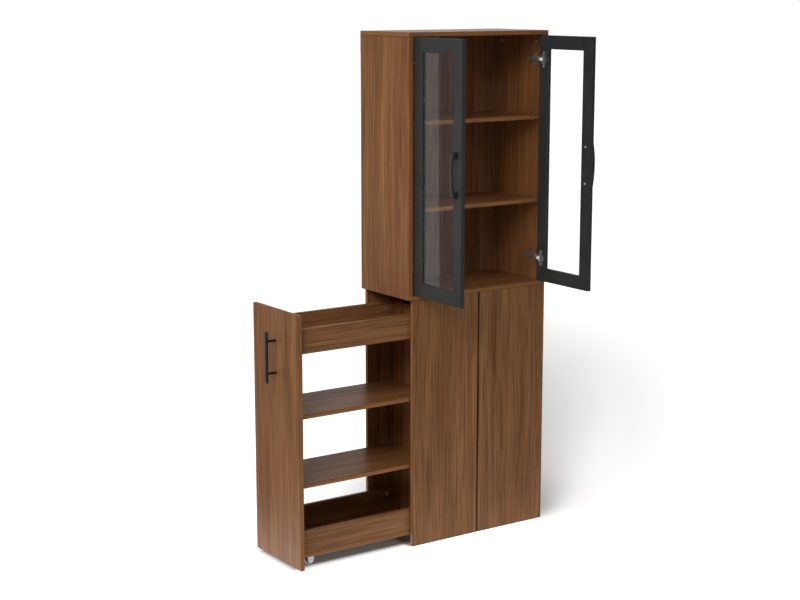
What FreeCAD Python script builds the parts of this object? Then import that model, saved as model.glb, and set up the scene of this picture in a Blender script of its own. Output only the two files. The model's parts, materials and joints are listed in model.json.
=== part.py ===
import FreeCAD, Part
import math
import os

# Tall pantry cabinet of laminated board: an upper cupboard with two framed glass doors,
# and below it a tall trolley that rolls out sideways, to the left, on four small casters.
# Lengths are in millimetres. X runs along the front to the right, Y to the back, Z up.

# Whole cabinet
width = 600.0
depth = 300.0
height = 1800.0
board = 15.0
arris = 0.8
lower_height = 888.0
overrun = 1.0
fit_gap = 0.1

# Upper cupboard: back panel in grooves and two shelves on pins
back_panel = 5.0
back_groove = 5.0
back_inset = 8.0
back_slack = 0.3
shelf_setback = 20.0
shelf_slack = 0.5
shelf_count = 2
shelf_pin_radius = 2.5
shelf_pin_length = 16.0
shelf_pin_inset = 40.0

# Fixed boards of the lower half
mouth_inset = 16.0
seam_gap = 4.0
seam_dowel_shares = (0.17, 0.5, 0.83)

# Cam fittings, dowels and wood screws, drawn with few sides because they repeat
cam_sides = 6
bolt_sides = 4
dowel_sides = 6
pin_sides = 6
screw_sides = 4
screw_head_sides = 8
cam_radius = 7.5
cam_depth = 12.0
cam_setback = 25.0
cam_edge = 50.0
cam_bolt_radius = 3.0
cam_bolt_bite = 9.0
dowel_radius = 4.0
dowel_length = 30.0
dowel_edge = 70.0
front_board_cam_edge = 44.0
back_board_cam_edge = 120.0
side_cam_height = 150.0
screw_radius = 1.75
screw_length = 12.0
screw_head_radius = 3.6
screw_head_depth = 1.8

# Glass doors, hung between the sides
door_gap = 2.0
door_thick = 15.0
frame_wide = 48.0
glass_thick = 4.0
glass_bite = 6.0
glass_slack = 0.2
left_door_open = 92.0
right_door_open = 90.0

# Concealed hinges: a cup in the door, a plate and a cranked arm on the side, a link between
hinge_axis_in = 3.7
hinge_axis_out = 0.8
hinge_end = 84.0
cup_radius = 17.5
cup_depth = 11.5
cup_wall = 1.0
cup_edge = 4.5
cup_rim = 1.0
cup_sides = 14
cup_pin_edge = 16.0
cup_pin_deep = 3.3
cup_pin_radius = 1.5
flange_thick = 1.0
flange_high = 58.0
flange_wide = 17.0
flange_offset = 4.0
flange_screw_spacing = 46.0
flange_corner = 4.0
plate_back = 52.0
plate_thick = 2.0
plate_long = 44.0
plate_spine = 14.0
plate_wing_high = 46.0
plate_wing_wide = 16.0
plate_screw_spacing = 32.0
plate_corner = 4.0
ridge_high = 5.0
ridge_wide = 9.6
arm_high = 13.0
arm_sheet = 1.2
arm_web = 1.5
arm_tail = 88.0
arm_tail_out = 10.5
arm_tail_in = 3.0
arm_bend_back = 46.0
arm_neck_back = 30.0
arm_mouth_back = 26.0
arm_heel_back = 42.0
nose_sides = 6
link_pin_in = 16.0
link_pin_back = 18.0
link_pin_radius = 2.0
link_pin_sides = 12
link_running_gap = 0.06
link_barrel_radius = 3.3
link_nose_radius = 3.8
link_side_gap = 0.3
link_thick = 2.4
link_sides = 8
link_crest_in = 27.0
link_crest_front = 6.0
link_crest_end = -4.0
link_tip_in = 20.5
link_tip_front = -11.0
link_ratio = 0.92
square_angle = 90.0

# Bow pulls on the doors
pull_edge = 26.0
pull_spacing = 128.0
pull_length = 152.0
pull_foot = 22.0
pull_end_rise = 19.0
pull_mid_rise = 26.0
pull_thick = 6.0
pull_wide = 10.0
pull_corner = 5.0
pull_round = 1.2
pull_sides = 8
corner_sides = 3
pull_screw_radius = 2.0
pull_screw_bite = 11.0
pull_screw_head_radius = 4.5
pull_screw_head = 2.4

# Trolley
cart_end_gap = 3.0
cart_stay_in = 137.0
cart_side_gap = 4.0
cart_floor_gap = 3.0
cart_head_gap = 2.0
cart_cam_setback = 36.0
cart_cam_edge = 45.0
cart_underside = 40.0
cart_bottom_rail = 80.0
cart_top_rail = 85.0
cart_top_room = 53.0
cart_lower_shelf_share = 0.331
cart_upper_shelf_share = 0.678
rail_cam_drop = 20.0

# Bar handle of the trolley
bar_radius = 6.0
bar_length = 176.0
bar_spacing = 112.0
bar_standoff = 36.0
bar_drop = 166.0
bar_end_round = 1.0
bar_post_radius = 4.5
post_sides = 10
bar_screw_bite = 14.0

# Casters under the trolley
caster_inset_x = 50.0
caster_inset_y = 33.0
caster_plate_long = 38.0
caster_plate_wide = 30.0
caster_sheet = 1.6
caster_cheek_wide = 26.0
caster_cheek_round = 10.5
cheek_sides = 5
wheel_radius = 17.0
wheel_wide = 14.0
wheel_shoulder = 2.5
wheel_sides = 20
wheel_side_gap = 0.5
axle_radius = 2.5
axle_running_gap = 0.06
axle_head_radius = 5.0
axle_head = 1.2
axle_sides = 8

# Places worked out from the sizes above
inner_right = width - board
upper_floor = lower_height + board
upper_ceiling = height - board
back_front = depth - back_inset - back_panel
middle_x = width / 2
front_back = board
rear_front = depth - board
door_wide = (inner_right - board - 3 * door_gap) / 2
door_low = upper_floor + door_gap
door_high = upper_ceiling - door_gap
door_left = board + door_gap
hinge_heights = (door_low + hinge_end, door_high - hinge_end)
hinge_axis = FreeCAD.Vector(door_left + hinge_axis_in, -hinge_axis_out, 0)
link_axis = FreeCAD.Vector(board + link_pin_in, link_pin_back, 0)
cup_x = door_left + cup_edge + cup_radius
cart_length = width - board - cart_end_gap
cart_right = cart_stay_in
cart_left = cart_right - cart_length
cart_near = board + cart_side_gap
cart_far = depth - board - cart_side_gap
cart_inside_left = cart_left + board
cart_inside_right = cart_right - board
cart_floor_z = cart_underside + board
cart_top_rim = lower_height - cart_top_room
cart_top_tray_z = cart_top_rim - cart_top_rail
cart_clear_height = cart_top_tray_z - cart_floor_z
cart_lower_shelf_z = cart_floor_z + cart_clear_height * cart_lower_shelf_share
cart_upper_shelf_z = cart_floor_z + cart_clear_height * cart_upper_shelf_share
bar_centre_z = lower_height - bar_drop
origin = FreeCAD.Vector(middle_x, depth - board / 2, 0)
X_AXIS = FreeCAD.Vector(1, 0, 0)
Y_AXIS = FreeCAD.Vector(0, 1, 0)
Z_AXIS = FreeCAD.Vector(0, 0, 1)

pieces = {}


def point(x, y, z):
    return FreeCAD.Vector(x, y, z)


def block(x0, x1, y0, y1, z0, z1):
    return Part.makeBox(x1 - x0, y1 - y0, z1 - z0, point(x0, y0, z0))


def eased_board(x0, x1, y0, y1, z0, z1):
    """A board whose banded edges are broken by a small arris."""
    plain = block(x0, x1, y0, y1, z0, z1)
    return plain.makeChamfer(arris, plain.Edges)


def rod(start, direction, radius, length):
    return Part.makeCylinder(radius, length, start, direction)


def outline_face(points):
    return Part.Face(Part.makePolygon(points + points[:1]))


def ring(centre, direction, radius, sides):
    """The corners of a regular polygon across an axis."""
    first = FreeCAD.Vector(direction.y, direction.z, direction.x)
    second = direction.cross(first)
    turn = 2 * math.pi / sides
    return [centre + first * (radius * math.cos(turn * k)) + second * (radius * math.sin(turn * k))
            for k in range(sides)]


def peg(start, direction, radius, length, sides):
    return outline_face(ring(start, direction, radius, sides)).extrude(direction * length)


def peg_hole(start, direction, radius, length, sides):
    return peg(start, direction, radius + fit_gap / math.cos(math.pi / sides), length, sides)


def cut_piece(name, *tools):
    for tool in tools:
        pieces[name] = pieces[name].cut(tool)


def mirrored(shape):
    """The same piece for the right-hand side of the cabinet."""
    return shape.mirror(point(middle_x, 0, 0), X_AXIS)


# Cam fittings: a cam let into one board's face draws the head of a bolt that is screwed
# into the other board. Each group is one kind of fastener.
def cam_joint(group, holder, receiver, face_point, out, toward, setback):
    heart = face_point - out * (board / 2)
    flat = cam_radius * math.cos(math.pi / cam_sides)
    bolt_start = heart + toward * (cam_radius + fit_gap)
    bolt_length = setback - cam_radius - fit_gap + cam_bolt_bite
    cam = peg(face_point, -out, cam_radius, cam_depth, cam_sides)
    bolt = peg(bolt_start, toward, cam_bolt_radius, bolt_length, bolt_sides)
    pieces.setdefault(group + "_cam_locks", []).append(cam)
    pieces.setdefault(group + "_cam_bolts", []).append(bolt)
    cam_hole = peg_hole(face_point + out * overrun, -out, cam_radius, cam_depth + overrun + fit_gap, cam_sides)
    bolt_hole = peg_hole(heart + toward * flat, toward, cam_bolt_radius,
                         setback - flat + cam_bolt_bite + fit_gap, bolt_sides)
    cut_piece(holder, cam_hole, bolt_hole)
    cut_piece(receiver, bolt_hole)


def dowel_joint(group, first, second, centre, direction):
    start = centre - direction * (dowel_length / 2)
    pieces.setdefault(group, []).append(peg(start, direction, dowel_radius, dowel_length, dowel_sides))
    hole = peg_hole(start - direction * fit_gap, direction, dowel_radius, dowel_length + 2 * fit_gap,
                    dowel_sides)
    cut_piece(first, hole)
    cut_piece(second, hole)


def tapered_peg(start, direction, first_radius, last_radius, length, sides):
    first = ring(start, direction, first_radius, sides)
    last = ring(start + direction * length, direction, last_radius, sides)
    faces = [outline_face(first), outline_face(last)]
    for k in range(sides):
        faces.append(outline_face([first[k - 1], first[k], last[k], last[k - 1]]))
    taper = Part.makeSolid(Part.makeShell(faces))
    if taper.Volume < 0:
        taper.reverse()
    return taper


def wood_screw(head_point, into):
    """A countersunk screw whose head is flush at head_point."""
    head = tapered_peg(head_point, into, screw_head_radius, screw_radius, screw_head_depth, screw_head_sides)
    shank_start = head_point + into * screw_head_depth
    return head.fuse(peg(shank_start, into, screw_radius, screw_length - screw_head_depth, screw_sides))


def screw_hole(head_point, into):
    wide = screw_head_radius + fit_gap
    narrow = screw_radius + fit_gap
    sink = tapered_peg(head_point, into, wide, narrow, screw_head_depth, screw_head_sides)
    return sink.fuse(peg_hole(head_point, into, screw_radius, screw_length + fit_gap, screw_sides))


# Upper cupboard: top panel over the two sides, middle panel between them
def upper_cupboard():
    pieces["top_panel"] = eased_board(0, width, 0, depth, upper_ceiling, height)
    pieces["upper_left_side"] = eased_board(0, board, 0, depth, lower_height, upper_ceiling)
    pieces["upper_right_side"] = eased_board(inner_right, width, 0, depth, lower_height, upper_ceiling)
    pieces["middle_panel"] = eased_board(board, inner_right, 0, depth, lower_height, upper_floor)
    groove_front = back_front - back_slack
    groove_rear = back_front + back_panel + back_slack
    left_wall = board - back_groove
    right_wall = inner_right + back_groove
    low_wall = upper_floor - back_groove
    high_wall = upper_ceiling + back_groove
    groove = block(left_wall, right_wall, groove_front, groove_rear, low_wall, high_wall)
    for name in ("top_panel", "upper_left_side", "upper_right_side", "middle_panel"):
        cut_piece(name, groove)
    pieces["upper_back_panel"] = block(left_wall + back_slack, right_wall - back_slack,
                                       back_front, back_front + back_panel,
                                       low_wall + back_slack, high_wall - back_slack)


# Two shelves in the cupboard, each resting on four pins in the sides
def cupboard_shelves():
    names = ("cabinet_lower_shelf", "cabinet_upper_shelf")
    clear_height = (upper_ceiling - upper_floor - shelf_count * board) / (shelf_count + 1)
    pins = pieces.setdefault("shelf_pins", [])
    for index, name in enumerate(names):
        bottom = upper_floor + clear_height + index * (clear_height + board)
        rear = back_front - shelf_slack
        pieces[name] = eased_board(board + shelf_slack, inner_right - shelf_slack,
                                   shelf_setback, rear, bottom, bottom + board)
        pin_z = bottom - shelf_pin_radius - fit_gap
        for pin_y in (shelf_setback + shelf_pin_inset, rear - shelf_pin_inset):
            for side, wall, inward in (("upper_left_side", board, X_AXIS),
                                       ("upper_right_side", inner_right, -X_AXIS)):
                start = point(wall, pin_y, pin_z) - inward * (shelf_pin_length / 2)
                pins.append(peg(start, inward, shelf_pin_radius, shelf_pin_length, pin_sides))
                cut_piece(side, peg_hole(start - inward * fit_gap, inward, shelf_pin_radius, shelf_pin_length,
                                         pin_sides))


# Lower half: two fixed front boards, a back board and a right side, open at the left
def lower_boards():
    seam_left = middle_x - seam_gap / 2
    seam_right = middle_x + seam_gap / 2
    pieces["lower_front_left_board"] = eased_board(mouth_inset, seam_left, 0, front_back, 0, lower_height)
    pieces["lower_front_right_board"] = eased_board(seam_right, width, 0, front_back, 0, lower_height)
    pieces["lower_back_board"] = eased_board(mouth_inset, width, rear_front, depth, 0, lower_height)
    pieces["lower_right_side"] = eased_board(inner_right, width, front_back, rear_front, 0, lower_height)
    for share in seam_dowel_shares:
        dowel_joint("carcass_dowels", "lower_front_left_board", "lower_front_right_board",
                    point(middle_x, front_back / 2, lower_height * share), X_AXIS)


# Fasteners that hold the carcass together
def carcass_fasteners():
    cam_z = upper_ceiling - cam_setback
    for y in (cam_edge, depth - cam_edge):
        cam_joint("carcass", "upper_left_side", "top_panel", point(board, y, cam_z), X_AXIS, Z_AXIS,
                  cam_setback)
        cam_joint("carcass", "upper_right_side", "top_panel", point(inner_right, y, cam_z), -X_AXIS, Z_AXIS,
                  cam_setback)
        under = point(board + cam_setback, y, lower_height)
        cam_joint("carcass", "middle_panel", "upper_left_side", under, -Z_AXIS, -X_AXIS, cam_setback)
        under = point(inner_right - cam_setback, y, lower_height)
        cam_joint("carcass", "middle_panel", "upper_right_side", under, -Z_AXIS, X_AXIS, cam_setback)
    cam_z = lower_height - cam_setback
    for name, left, right in (("lower_front_left_board", mouth_inset, middle_x),
                              ("lower_front_right_board", middle_x, inner_right)):
        for x in (left + front_board_cam_edge, right - front_board_cam_edge):
            cam_joint("carcass", name, "middle_panel", point(x, front_back, cam_z), Y_AXIS, Z_AXIS,
                      cam_setback)
    for x in (mouth_inset + back_board_cam_edge, width - back_board_cam_edge):
        cam_joint("carcass", "lower_back_board", "middle_panel", point(x, rear_front, cam_z), -Y_AXIS, Z_AXIS,
                  cam_setback)
    for z in (side_cam_height, lower_height - side_cam_height):
        front_cam = point(inner_right, front_back + cam_setback, z)
        rear_cam = point(inner_right, rear_front - cam_setback, z)
        cam_joint("carcass", "lower_right_side", "lower_front_right_board", front_cam, -X_AXIS, -Y_AXIS,
                  cam_setback)
        cam_joint("carcass", "lower_right_side", "lower_back_board", rear_cam, -X_AXIS, Y_AXIS, cam_setback)
    for y in (dowel_edge, depth - dowel_edge):
        dowel_joint("carcass_dowels", "lower_right_side", "upper_right_side",
                    point(width - board / 2, y, lower_height), Z_AXIS)


# Hinge mounting plate and cranked arm of the left side, at one height
def hinge_plate(z):
    half_long = plate_long / 2
    spine = block(board, board + plate_thick, plate_back - half_long, plate_back + half_long,
                  z - plate_spine / 2, z + plate_spine / 2)
    half_wing = plate_wing_wide / 2
    wings = block(board, board + plate_thick, plate_back - half_wing, plate_back + half_wing,
                  z - plate_wing_high / 2, z + plate_wing_high / 2)
    ridge = block(board, board + plate_thick + ridge_high, plate_back - half_long, plate_back + half_long,
                  z - ridge_wide / 2, z + ridge_wide / 2)
    plate = spine.fuse([wings, ridge]).removeSplitter()
    upright = [edge for edge in plate.Edges if abs(edge.BoundBox.XLength - plate_thick) < fit_gap
               and abs(abs(edge.CenterOfMass.z - z) - plate_wing_high / 2) < fit_gap]
    return plate.makeChamfer(plate_corner, upright)


def hinge_arm(z):
    nose_out = link_pin_in + link_nose_radius
    nose_in = link_pin_in - link_nose_radius
    low = z - arm_high / 2
    corner = [point(board + x, y, low) for x, y in (
        (nose_in, link_pin_back), (nose_in, arm_neck_back), (arm_tail_in, arm_heel_back),
        (arm_tail_in, arm_tail), (arm_tail_out, arm_tail), (arm_tail_out, arm_bend_back),
        (nose_out, arm_neck_back), (nose_out, link_pin_back))]
    nose_front = point(board + link_pin_in, link_pin_back - link_nose_radius, low)
    nose = Part.Arc(corner[-1], nose_front, corner[0]).toShape().discretize(Number=nose_sides + 1)
    body = outline_face(corner + nose[1:-1]).extrude(Z_AXIS * arm_high)
    hollow_low = low + arm_sheet
    inside = [point(board + x, y, hollow_low) for x, y in (
        (0, arm_tail + overrun), (arm_tail_out - arm_web, arm_tail + overrun),
        (arm_tail_out - arm_web, arm_bend_back), (nose_out - arm_web, arm_neck_back),
        (nose_out - arm_web, arm_mouth_back), (nose_out + overrun, arm_mouth_back), (nose_out + overrun, 0),
        (0, 0))]
    hollow = outline_face(inside).extrude(Z_AXIS * (arm_high - 2 * arm_sheet))
    pin_low = point(board + link_pin_in, link_pin_back, low)
    pin = peg(pin_low, Z_AXIS, link_pin_radius, arm_high, link_pin_sides)
    return body.cut(hollow).fuse(pin).removeSplitter()


# Hinge link: a strap that swings on the arm's pin and reaches over the door edge into the cup
def hinge_link(z, door_angle):
    half_high = arm_high / 2 - arm_sheet - link_side_gap
    low = z - half_high
    line = [(link_pin_in, link_pin_back), (link_crest_in, link_crest_front), (link_crest_in, link_crest_end),
            (link_tip_in, link_tip_front)]
    path = [point(board + x, y, low) for x, y in line]
    normals = []
    for start, end in zip(path, path[1:]):
        along = (end - start).normalize()
        normals.append(FreeCAD.Vector(-along.y, along.x, 0))
    bends = [normals[0]]
    for before, after in zip(normals, normals[1:]):
        bends.append((before + after) / (1 + before.dot(after)))
    bends.append(normals[-1])
    left_side = [place + bend * (link_thick / 2) for place, bend in zip(path, bends)]
    right_side = [place - bend * (link_thick / 2) for place, bend in zip(path, bends)]
    strap = outline_face(left_side + right_side[::-1]).extrude(Z_AXIS * (2 * half_high))
    tip = peg(path[-1], Z_AXIS, link_thick / 2, 2 * half_high, link_sides)
    barrel = peg(path[0], Z_AXIS, link_barrel_radius, 2 * half_high, link_sides)
    eye = rod(path[0] - Z_AXIS * overrun, Z_AXIS, link_pin_radius + link_running_gap,
              2 * half_high + 2 * overrun)
    link = strap.fuse([tip, barrel]).removeSplitter().cut(eye)
    link.rotate(link_axis, Z_AXIS, -link_ratio * (door_angle - square_angle))
    return link


# Hinge cup in the closed left door, with its flange on the door's inner face
def hinge_cup(z):
    centre = point(cup_x, door_thick, z)
    shell = peg(centre, -Y_AXIS, cup_radius, cup_depth, cup_sides)
    rim = peg(centre, Y_AXIS, cup_radius + cup_rim, flange_thick, cup_sides)
    wing_x = cup_x + flange_offset
    wing = block(wing_x - flange_wide / 2, wing_x + flange_wide / 2, door_thick, door_thick + flange_thick,
                 z - flange_high / 2, z + flange_high / 2)
    corners = [edge for edge in wing.Edges if abs(edge.BoundBox.YLength - flange_thick) < fit_gap
               and edge.BoundBox.ZLength < fit_gap and edge.BoundBox.XLength < fit_gap]
    wing = wing.makeChamfer(flange_corner, corners)
    mouth = peg(centre + Y_AXIS * (flange_thick + overrun), -Y_AXIS, cup_radius - cup_wall,
                cup_depth - cup_wall + flange_thick + overrun, cup_sides)
    cup = shell.fuse([rim, wing]).removeSplitter().cut(mouth)
    pin_x = door_left + cup_pin_edge
    half_pin = math.sqrt((cup_radius - cup_wall / 2) ** 2 - (cup_x - pin_x) ** 2)
    pin_low = point(pin_x, door_thick - cup_pin_deep, z - half_pin)
    pin = peg(pin_low, Z_AXIS, cup_pin_radius, 2 * half_pin, link_sides)
    cup = cup.fuse(pin).removeSplitter()
    for head in flange_screw_heads(z):
        cup = cup.cut(screw_hole(head, -Y_AXIS))
    return cup


def flange_screw_heads(z):
    wing_x = cup_x + flange_offset
    return [point(wing_x, door_thick + flange_thick, z + step * flange_screw_spacing / 2) for step in (-1, 1)]


def rounded(before, corner, after, radius):
    """Chord points of the round between two straight edges that meet at a corner."""
    first = (before - corner).normalize()
    last = (after - corner).normalize()
    half_angle = first.getAngle(last) / 2
    middle_way = (first + last).normalize()
    heart = corner + middle_way * (radius / math.sin(half_angle))
    reach = radius / math.tan(half_angle)
    bend = Part.Arc(corner + first * reach, heart - middle_way * radius, corner + last * reach)
    return bend.toShape().discretize(Number=corner_sides + 1)


# Bow pull: a flat arched bar cast in one with its two feet
def bow_pull(x, z):
    half = pull_length / 2
    gap = half - pull_foot
    left = x - pull_wide / 2
    corner = [point(left, -rise, z + step) for rise, step in (
        (0, -half), (pull_end_rise, -half), (pull_end_rise, half), (0, half), (0, gap),
        (pull_end_rise - pull_thick, gap), (pull_end_rise - pull_thick, -gap), (0, -gap))]
    crest = Part.Arc(corner[1], point(left, -pull_mid_rise, z), corner[2]).toShape()
    belly = Part.Arc(corner[5], point(left, pull_thick - pull_mid_rise, z), corner[6]).toShape()
    over = crest.discretize(Number=pull_sides + 1)
    under = belly.discretize(Number=pull_sides + 1)
    outline = corner[:1] + rounded(corner[0], over[0], over[1], pull_corner) + over[1:-1]
    outline += rounded(over[-2], over[-1], corner[3], pull_corner) + corner[3:5]
    outline += rounded(corner[4], under[0], under[1], pull_corner / 2) + under[1:-1]
    outline += rounded(under[-2], under[-1], corner[7], pull_corner / 2) + corner[7:]
    bow = outline_face(outline).extrude(X_AXIS * pull_wide)
    rims = [edge for edge in bow.Edges if edge.BoundBox.XLength < fit_gap and edge.BoundBox.YMin < -fit_gap]
    bow = bow.makeChamfer(pull_round, rims)
    for step in (-1, 1):
        foot = point(x, 0, z + step * pull_spacing / 2)
        bow = bow.cut(pull_screw_hole(foot, -Y_AXIS, 0, pull_screw_bite + fit_gap))
    return bow


def pull_screw(foot, out, through, bite):
    """A machine screw with a flat round head, through a panel and into a handle's post."""
    head_face = foot - out * through
    head = peg(head_face - out * pull_screw_head, out, pull_screw_head_radius, pull_screw_head,
               screw_head_sides)
    return head.fuse(peg(head_face, out, pull_screw_radius, through + bite, screw_sides)).removeSplitter()


def pull_screw_hole(foot, out, through, bite):
    return peg_hole(foot - out * through, out, pull_screw_radius, through + bite, screw_sides)


# One glass door, drawn closed at the left: grooved stiles, tongued rails, pane, pull and cups
def closed_left_door():
    right = door_left + door_wide
    inner_left = door_left + frame_wide
    inner_end = right - frame_wide
    groove_y0 = (door_thick - glass_thick) / 2 - glass_slack
    groove_y1 = (door_thick + glass_thick) / 2 + glass_slack
    deep = glass_bite + glass_slack
    low_edge = door_low + frame_wide
    high_edge = door_high - frame_wide
    door = {}
    groove = block(inner_left - deep, inner_end + deep, groove_y0, groove_y1,
                   door_low - overrun, door_high + overrun)
    hinge_stile = eased_board(door_left, inner_left, 0, door_thick, door_low, door_high).cut(groove)
    free_stile = eased_board(inner_end, right, 0, door_thick, door_low, door_high).cut(groove)
    pane_groove = block(inner_left - deep, inner_end + deep, groove_y0, groove_y1,
                        low_edge - deep, high_edge + deep)
    for name, z0, z1 in (("bottom_rail", door_low, low_edge), ("top_rail", high_edge, door_high)):
        rail = eased_board(inner_left, inner_end, 0, door_thick, z0, z1)
        tongue = block(inner_left - glass_bite, inner_end + glass_bite, groove_y0 + glass_slack,
                       groove_y1 - glass_slack, z0 + arris, z1 - arris)
        door[name] = rail.fuse(tongue).removeSplitter().cut(pane_groove)
    door["glass"] = block(inner_left - glass_bite, inner_end + glass_bite, groove_y0 + glass_slack,
                          groove_y1 - glass_slack, low_edge - glass_bite, high_edge + glass_bite)
    screws = []
    cups = []
    for z in hinge_heights:
        cups.append(hinge_cup(z))
        bore = peg_hole(point(cup_x, door_thick + overrun, z), -Y_AXIS, cup_radius,
                        cup_depth + overrun + fit_gap, cup_sides)
        hinge_stile = hinge_stile.cut(bore)
        for head in flange_screw_heads(z):
            hinge_stile = hinge_stile.cut(screw_hole(head, -Y_AXIS))
            screws.append(wood_screw(head, -Y_AXIS))
    pull_x = right - pull_edge
    pull_z = (door_low + door_high) / 2
    door["handle"] = bow_pull(pull_x, pull_z)
    for step in (-1, 1):
        foot = point(pull_x, 0, pull_z + step * pull_spacing / 2)
        free_stile = free_stile.cut(pull_screw_hole(foot, -Y_AXIS, door_thick, 0))
        screws.append(pull_screw(foot, -Y_AXIS, door_thick, pull_screw_bite))
    door["hinge_stile"] = hinge_stile
    door["free_stile"] = free_stile
    door["screws"] = Part.makeCompound(screws)
    door["hinge_cups"] = Part.makeCompound(cups)
    return door


# Both doors, swung open on their hinges, and the hinge pieces that stay on the sides
def glass_doors():
    screws = pieces.setdefault("carcass_screws", [])
    closed = closed_left_door()
    right_axis = point(width - hinge_axis.x, hinge_axis.y, 0)
    for name, shape in closed.items():
        left = shape.copy()
        left.rotate(hinge_axis, Z_AXIS, -left_door_open)
        right = mirrored(shape)
        right.rotate(right_axis, Z_AXIS, right_door_open)
        word = name if name == "hinge_cups" else "door_" + name
        pieces["left_" + word] = left
        pieces["right_" + word] = right
    for z in hinge_heights:
        plate = hinge_plate(z)
        for step in (-1, 1):
            head = point(board + plate_thick, plate_back, z + step * plate_screw_spacing / 2)
            hole = screw_hole(head, -X_AXIS)
            plate = plate.cut(hole)
            screw = wood_screw(head, -X_AXIS)
            cut_piece("upper_left_side", hole)
            cut_piece("upper_right_side", mirrored(hole))
            screws.append(screw)
            screws.append(mirrored(screw))
        arm = hinge_arm(z)
        for name, shape in (("hinge_plates", plate), ("hinge_arms", arm)):
            pieces.setdefault("left_" + name, []).append(shape)
            pieces.setdefault("right_" + name, []).append(mirrored(shape))
        pieces.setdefault("left_hinge_links", []).append(hinge_link(z, left_door_open))
        pieces.setdefault("right_hinge_links", []).append(mirrored(hinge_link(z, right_door_open)))


# Trolley: a tall outer panel, an inner end panel, two trays with rails and two open shelves
def trolley_boards():
    left = cart_inside_left
    right = cart_inside_right
    tray_near = cart_near + board
    tray_far = cart_far - board
    bottom_rail_high = cart_floor_z + cart_bottom_rail
    pieces["cart_outer_panel"] = eased_board(cart_left, left, 0, depth, cart_floor_gap,
                                             lower_height - cart_head_gap)
    pieces["cart_inner_panel"] = eased_board(right, cart_right, cart_near, cart_far, cart_underside,
                                             cart_top_rim)
    pieces["cart_top_near_rail"] = eased_board(left, right, cart_near, tray_near, cart_top_tray_z,
                                               cart_top_rim)
    pieces["cart_top_far_rail"] = eased_board(left, right, tray_far, cart_far, cart_top_tray_z, cart_top_rim)
    pieces["cart_top_tray_floor"] = eased_board(left, right, tray_near, tray_far, cart_top_tray_z,
                                                cart_top_tray_z + board)
    for name, z in (("cart_upper_shelf", cart_upper_shelf_z), ("cart_lower_shelf", cart_lower_shelf_z),
                    ("cart_bottom_board", cart_underside)):
        pieces[name] = eased_board(left, right, cart_near, cart_far, z, z + board)
    pieces["cart_bottom_near_rail"] = eased_board(left, right, cart_near, tray_near, cart_floor_z,
                                                  bottom_rail_high)
    pieces["cart_bottom_far_rail"] = eased_board(left, right, tray_far, cart_far, cart_floor_z,
                                                 bottom_rail_high)
    ends = (("cart_outer_panel", left + cart_cam_setback, -X_AXIS),
            ("cart_inner_panel", right - cart_cam_setback, X_AXIS))
    for panel, cam_x, toward in ends:
        for rails, z in (("cart_top", cart_top_rim - rail_cam_drop),
                         ("cart_bottom", bottom_rail_high - rail_cam_drop)):
            cam_joint("cart", rails + "_near_rail", panel, point(cam_x, tray_near, z), Y_AXIS, toward,
                      cart_cam_setback)
            cam_joint("cart", rails + "_far_rail", panel, point(cam_x, tray_far, z), -Y_AXIS, toward,
                      cart_cam_setback)
        for shelf, z in (("cart_upper_shelf", cart_upper_shelf_z), ("cart_lower_shelf", cart_lower_shelf_z)):
            for y in (cart_near + cart_cam_edge, cart_far - cart_cam_edge):
                cam_joint("cart", shelf, panel, point(cam_x, y, z), -Z_AXIS, toward, cart_cam_setback)
        for floor, z in (("cart_bottom_board", cart_underside), ("cart_top_tray_floor", cart_top_tray_z)):
            cam_joint("cart", floor, panel, point(cam_x, depth / 2, z), -Z_AXIS, toward, cart_cam_setback)


# Bar handle on the outer panel: a straight round bar on two coped posts
def trolley_handle():
    y = depth / 2
    bar_x = cart_left - bar_standoff
    bar = rod(point(bar_x, y, bar_centre_z - bar_length / 2), Z_AXIS, bar_radius, bar_length)
    posts = []
    screws = []
    for step in (-1, 1):
        foot = point(cart_left, y, bar_centre_z + step * bar_spacing / 2)
        post = peg(foot, -X_AXIS, bar_post_radius, bar_standoff, post_sides).cut(bar)
        posts.append(post.cut(pull_screw_hole(foot, -X_AXIS, 0, bar_screw_bite + fit_gap)))
        screws.append(pull_screw(foot, -X_AXIS, board, bar_screw_bite))
        cut_piece("cart_outer_panel", pull_screw_hole(foot, -X_AXIS, board, 0))
    pieces["cart_handle_bar"] = bar.makeChamfer(bar_end_round, bar.Edges)
    pieces["cart_handle_posts"] = posts
    pieces["cart_handle_screws"] = screws


# Casters: a pressed fork under the bottom board, a riveted axle and a black wheel
def caster_bracket(x, y):
    half_wheel = wheel_wide / 2 + wheel_side_gap
    plate_z = cart_underside - caster_sheet
    bracket = block(x - caster_plate_long / 2, x + caster_plate_long / 2, y - caster_plate_wide / 2,
                    y + caster_plate_wide / 2, plate_z, cart_underside)
    half_top = caster_cheek_wide / 2
    for cheek_y in (y - half_wheel - caster_sheet, y + half_wheel):
        high_left = point(x - half_top, cheek_y, plate_z)
        high_right = point(x + half_top, cheek_y, plate_z)
        low_right = point(x + caster_cheek_round, cheek_y, wheel_radius)
        low_left = point(x - caster_cheek_round, cheek_y, wheel_radius)
        bottom = point(x, cheek_y, wheel_radius - caster_cheek_round)
        nose = Part.Arc(low_right, bottom, low_left).toShape().discretize(Number=cheek_sides + 1)
        cheek = outline_face([high_left, high_right] + nose).extrude(Y_AXIS * caster_sheet)
        bracket = bracket.fuse(cheek)
    half_axle = half_wheel + caster_sheet
    axle_start = point(x, y - half_axle, wheel_radius)
    bracket = bracket.fuse(peg(axle_start, Y_AXIS, axle_radius, 2 * half_axle, axle_sides))
    for face, direction in ((y - half_axle, -Y_AXIS), (y + half_axle, Y_AXIS)):
        head = tapered_peg(point(x, face, wheel_radius), direction, axle_head_radius, axle_radius, axle_head,
                           axle_sides)
        bracket = bracket.fuse(head)
    return bracket.removeSplitter()


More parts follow.
